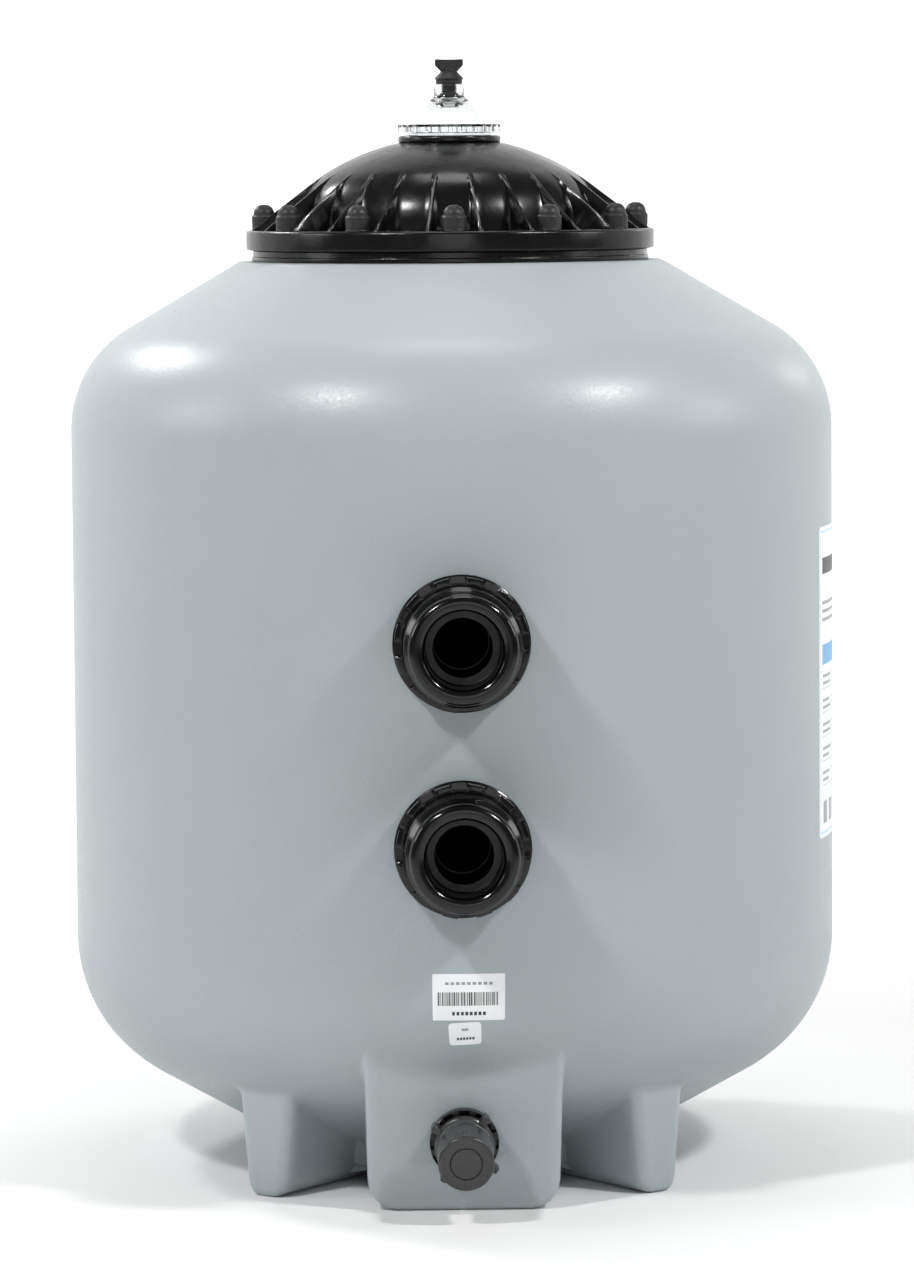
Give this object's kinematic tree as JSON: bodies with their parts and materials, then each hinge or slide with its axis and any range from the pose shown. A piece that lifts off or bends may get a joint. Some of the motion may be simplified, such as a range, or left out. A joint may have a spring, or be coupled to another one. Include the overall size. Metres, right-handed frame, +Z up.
{
  "type": "sand filter tank",
  "caption": "Upright moulded filter tank with a bolted domed lid, clear sight dome with air bleed, front pipe ports, moulded feet and a capped drain.",
  "frame": {"origin": "on the tank's vertical axis at floor level, under the centre of the vessel", "axes": "+Z up along the vessel's axis, -Y out of the pipe ports and the drain, +X to the right seen from the front"},
  "size_m": [0.7624, 0.8504, 1.099],
  "materials": {
    "tank_polyethylene": "satin",
    "lid_black": "glossy",
    "cap_black": "matt",
    "stainless_steel": "satin",
    "rubber_black": "matt",
    "clear_plastic": "clear",
    "port_black": "glossy",
    "drain_grey": "satin",
    "label_white": "satin",
    "inner_black": "matt",
    "inner_plastic": "matt"
  },
  "bodies": {
    "root": {"tank_shell": "tank_polyethylene", "neck_ring": "lid_black", "lid_studs": "stainless_steel", "lid_o_ring": "rubber_black", "upper_bulkhead": "port_black", "upper_lock_ring": "port_black", "upper_outer_gasket": "rubber_black", "upper_inner_gasket": "rubber_black", "upper_nose_o_ring": "rubber_black", "lower_bulkhead": "port_black", "lower_lock_ring": "port_black", "lower_outer_gasket": "rubber_black", "lower_inner_gasket": "rubber_black", "lower_nose_o_ring": "rubber_black", "inlet_pipe": "inner_black", "inlet_elbow": "inner_black", "inlet_riser": "inner_plastic", "diffuser": "inner_plastic", "outlet_pipe": "inner_black", "outlet_elbow": "inner_black", "outlet_downpipe": "inner_plastic", "lateral_hub": "inner_plastic", "laterals": "inner_plastic", "drain_spigot": "drain_grey", "drain_gasket": "rubber_black", "drain_inner_gasket": "rubber_black", "drain_lock_ring": "drain_grey", "drain_screen": "inner_plastic", "serial_label": "label_white", "batch_label": "label_white", "info_label": "label_white"},
    "lid": {"lid_cover": "lid_black", "sight_dome_seat_ring": "lid_black", "sight_dome_gasket": "rubber_black", "sight_dome": "clear_plastic", "sight_dome_lock_ring": "clear_plastic"},
    "nuts": {"lid_washers": "stainless_steel", "lid_nuts": "stainless_steel"},
    "caps": {"lid_nut_caps": "cap_black"},
    "bleed_seal": {"bleed_o_ring": "rubber_black"},
    "bleed_screw": {"bleed_knob": "cap_black", "bleed_stem": "cap_black"},
    "drain_seal": {"drain_cap_seal": "rubber_black"},
    "drain_screw": {"drain_cap": "drain_grey"}
  },
  "joints": [
    {"name": "lid_lift", "type": "slide", "parent": "root", "child": "lid", "axis": [0, 0, 1], "range_m": [0, 0.4]},
    {"name": "nuts_lift", "type": "slide", "parent": "lid", "child": "nuts", "axis": [0, 0, 1], "range_m": [0, 0.03]},
    {"name": "caps_lift", "type": "slide", "parent": "nuts", "child": "caps", "axis": [0, 0, 1], "range_m": [0, 0.04]},
    {"name": "bleed_rise", "type": "slide", "parent": "lid", "child": "bleed_seal", "axis": [0, 0, 1], "range_m": [0, 0.00601]},
    {"name": "bleed_turn", "type": "hinge", "parent": "bleed_seal", "child": "bleed_screw", "pos_m": [0, 0, 1.0743], "axis": [0, 0, 1], "range_deg": [0, 1080]},
    {"name": "drain_out", "type": "slide", "parent": "root", "child": "drain_seal", "axis": [0, -0.9962, -0.0872], "range_m": [0, 0.01501]},
    {"name": "drain_turn", "type": "hinge", "parent": "drain_seal", "child": "drain_screw", "pos_m": [0, -0.345, 0.0687], "axis": [0, -0.9962, -0.0872], "range_deg": [0, 1800]}
  ],
  "couplings": [
    {"joint": "bleed_rise", "follows": "bleed_turn", "m_per_rad": 0.00031831},
    {"joint": "drain_out", "follows": "drain_turn", "m_per_rad": 0.00047746}
  ]
}
